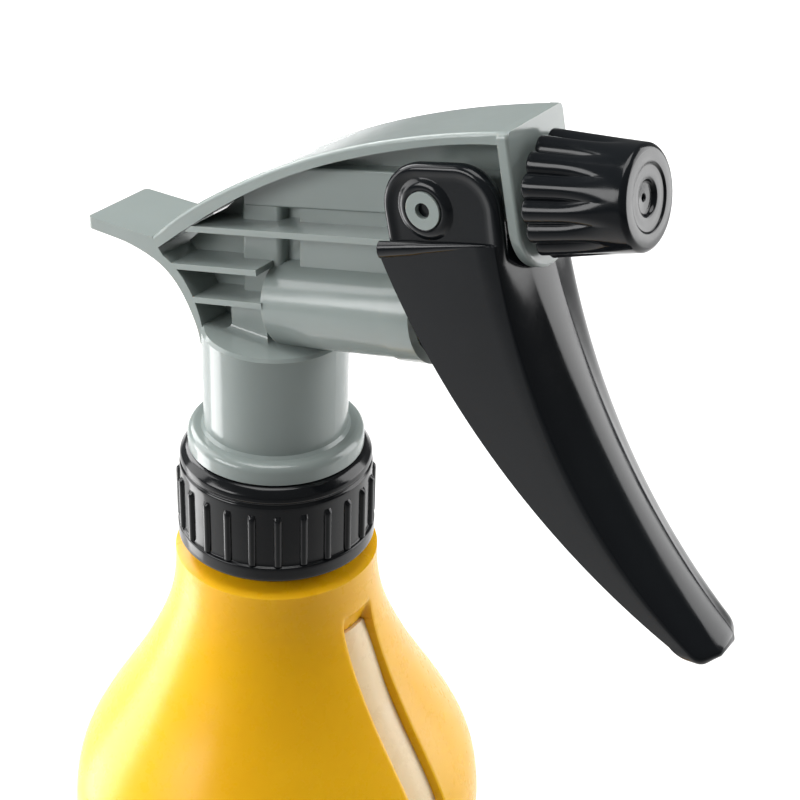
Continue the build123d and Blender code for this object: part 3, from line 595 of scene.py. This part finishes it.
def nozzle():
    """The adjustable nozzle: a fluted cone with a stepped front and a small orifice."""
    back_u, front_u = 64.2, 79.2
    base_r, front_r = 9.2, 7.5
    skirt_bore_r, bore_r, orifice_r = 6.2, 4.75, 0.4
    step_u = front_u - 0.3
    dimple_u = front_u - 0.95
    lobes, steps, flute_depth = 14, 18, 1.05
    count = lobes * steps
    outer = [Vector(p) for p in ((skirt_bore_r, back_u), (base_r - 0.1, back_u), (front_r, front_u - 0.55),
                                 (front_r - 0.6, front_u), (4.85, front_u), (4.65, step_u), (2.55, step_u),
                                 (2.3, dimple_u), (orifice_r + 0.15, dimple_u), (orifice_r, front_u - 1.2),
                                 (orifice_r, front_u - 2.6))]
    profile = rounded(outer, 0.3, 4)
    flank = []
    for near, far in zip(profile, profile[1:]):
        pieces = max(1, int((far - near).length / 0.7))
        flank += [near + (far - near) * (k / pieces) for k in range(pieces)]
    flank.append(profile[-1])
    inner = [Vector(p) for p in ((bore_r, front_u - 3.6), (bore_r, back_u + 2.0),
                                 (skirt_bore_r, back_u + 2.0), (skirt_bore_r, back_u))]
    rings = []
    for radius, u in flank + inner:
        along_share = (u - back_u) / (front_u - back_u)
        fade = 1 - smooth(0.30, 0.86, along_share)
        outside = smooth(6.9, 7.4, radius)
        ring = []
        for k in range(count):
            turn = k / count * 2 * pi
            lobe = abs(cos(turn * lobes / 2)) ** 0.75
            r = radius - flute_depth * fade * outside * (1 - lobe)
            ring.append(at(u, NOZZLE_V + r * sin(turn), r * cos(turn)))
        rings.append(ring)
    mesh = bmesh.new()
    add_rings(mesh, rings, ends=(False, False))
    bmesh.ops.remove_doubles(mesh, verts=mesh.verts, dist=1e-7)
    bmesh.ops.holes_fill(mesh, edges=mesh.edges, sides=count + 1)
    return finish_piece("nozzle_shell", mesh, "nozzle", black, "nozzle", "nozzle_cap")


# ---------------------------------------------------------------- materials on the CAD nodes
def dress():
    """Gives every shown CAD node its material."""
    wardrobe = {
        "bottle": yellow, "view_strip": clear_strip, "screw_cap": closure_black, "neck_gasket": foam,
        "sprayer_body": grey, "tube_adapter": natural, "inlet_ball": ball_steel, "ball_cage": natural,
        "dip_tube": natural, "strainer": natural, "piston": natural, "piston_seal_rear": rubber,
        "piston_seal_front": rubber, "return_spring": wire, "trigger": black, "nozzle_cap": black,
        "nozzle_gasket": foam, "outlet_ball": ball_steel, "outlet_spring": wire, "swirl_plug": natural,
    }
    for name, node in nodes.items():
        node.data.materials.clear()
        node.data.materials.append(wardrobe[name])


# ---------------------------------------------------------------- stage, lights and camera
FRONT_OF_SET = (0.609, -0.793, 0)   # level direction in which the floor's painted shade deepens


def stage():
    """A pale floor with painted shade: its colour falls off to mid grey in front of the object, under a dim
    white sky.
    """
    mesh = bmesh.new()
    count = 96
    rings = [[Vector((r * cos(k * 2 * pi / count), r * sin(k * 2 * pi / count), 0)) for k in range(count)]
             for r in (3.0, 0.8, 0.2)]
    add_rings(mesh, rings, ends=(False, True))
    data = bpy.data.meshes.new("floor")
    mesh.to_mesh(data)
    mesh.free()
    floor = bpy.data.objects.new("floor", data)
    bpy.context.scene.collection.objects.link(floor)
    made, tree_nodes, links, shader = graph("floor_with_painted_shade")
    grain = noise(tree_nodes, links, 40.0, 4.0)
    tone = tree_nodes.new("ShaderNodeMix")
    tone.data_type = "RGBA"
    tone.inputs["A"].default_value = (0.84, 0.84, 0.84, 1)
    tone.inputs["B"].default_value = (0.87, 0.87, 0.87, 1)
    links.new(grain.outputs["Fac"], tone.inputs["Factor"])
    # painted shade: the floor's colour falls off to a mid grey in front of the object, in place of the shade
    # of the dark surroundings there
    place = tree_nodes.new("ShaderNodeTexCoord")
    nearness = tree_nodes.new("ShaderNodeVectorMath")
    nearness.operation = "DOT_PRODUCT"
    nearness.inputs[1].default_value = FRONT_OF_SET
    links.new(place.outputs["Object"], nearness.inputs[0])
    painted_shade_ramp = tree_nodes.new("ShaderNodeMapRange")
    painted_shade_ramp.interpolation_type = "SMOOTHSTEP"
    painted_shade_ramp.inputs["From Min"].default_value = 0.04
    painted_shade_ramp.inputs["From Max"].default_value = 0.34
    links.new(nearness.outputs["Value"], painted_shade_ramp.inputs["Value"])
    # the mid grey mixed in here is painted shade, not the floor's own colour
    painted_shade = tree_nodes.new("ShaderNodeMix")
    painted_shade.data_type = "RGBA"
    painted_shade.inputs["B"].default_value = (0.26, 0.26, 0.26, 1)
    links.new(painted_shade_ramp.outputs["Result"], painted_shade.inputs["Factor"])
    links.new(tone.outputs["Result"], painted_shade.inputs["A"])
    links.new(painted_shade.outputs["Result"], shader.inputs["Base Color"])
    shader.inputs["Roughness"].default_value = 0.85
    shader.inputs["Specular IOR Level"].default_value = 0.2
    data.materials.append(made)

    world = bpy.data.worlds.new("studio")
    world.use_nodes = True
    world.node_tree.nodes["Background"].inputs["Color"].default_value = (1.0, 1.0, 1.0, 1)
    world.node_tree.nodes["Background"].inputs["Strength"].default_value = 0.16
    bpy.context.scene.world = world


def softbox(name, place, target, width, height, watts):
    """A soft rectangular light at place, facing target."""
    lamp = bpy.data.lights.new(name, "AREA")
    lamp.shape = "RECTANGLE"
    lamp.size, lamp.size_y = width, height
    lamp.energy = watts
    stand = bpy.data.objects.new(name, lamp)
    stand.location = place
    stand.rotation_mode = "QUATERNION"
    stand.rotation_quaternion = (Vector(target) - Vector(place)).to_track_quat("-Z", "Y")
    bpy.context.scene.collection.objects.link(stand)
    return stand


def lights():
    """Tall and low boxes on the left, one overhead, one for fill, one behind, two for the back floor."""
    middle = rim + Vector((0.02, 0, 0.02))
    softbox("left_box", (-0.715, -0.26, 0.50), middle, 0.36, 0.9, 3.6)
    softbox("low_left_box", (-0.263, -0.096, 0.10), rim, 0.13, 0.18, 0.36)
    softbox("top_box", (0.05, -0.02, 1.15), middle, 0.8, 0.6, 7.5)
    softbox("fill_box", (-0.45, -0.85, 0.55), middle, 0.6, 0.4, 5.5)
    softbox("right_back_box", (0.62, 0.72, 0.45), middle, 0.55, 0.9, 7)
    softbox("back_box", (-1.0, 0.25, 0.75), (-0.32, 0.50, 0.0), 0.6, 0.6, 9)
    softbox("far_box", (-0.25, 0.75, 0.80), (-0.25, 1.50, 0.10), 1.0, 0.4, 12)


def camera():
    """The camera, placed from the closure's lower rim."""
    eye = rim + Vector((154.67, -201.97, 174.17)) * MM
    azimuth, elevation, roll = radians(122.776), radians(-30.278), radians(2.003)
    forward = Vector((cos(elevation) * cos(azimuth), cos(elevation) * sin(azimuth), sin(elevation)))
    level = forward.cross(Vector((0, 0, 1))).normalized()
    upright = level.cross(forward)
    right = level * cos(roll) + upright * sin(roll)
    up = upright * cos(roll) - level * sin(roll)
    lens = bpy.data.cameras.new("camera")
    lens.sensor_width = 36.0
    lens.lens = 79.13
    lens.clip_start, lens.clip_end = 0.01, 20.0
    body = bpy.data.objects.new("camera", lens)
    turn = Matrix((right, up, -forward)).transposed()
    body.matrix_world = Matrix.Translation(eye) @ turn.to_4x4()
    bpy.context.scene.collection.objects.link(body)
    bpy.context.scene.camera = body


def picture():
    """Plain tone curve, so that the colours stay as bright as in a product picture."""
    bpy.context.scene.view_settings.view_transform = "Standard"


dress()
bottle()
closure()
trigger()
nozzle()
stage()
lights()
camera()
picture()
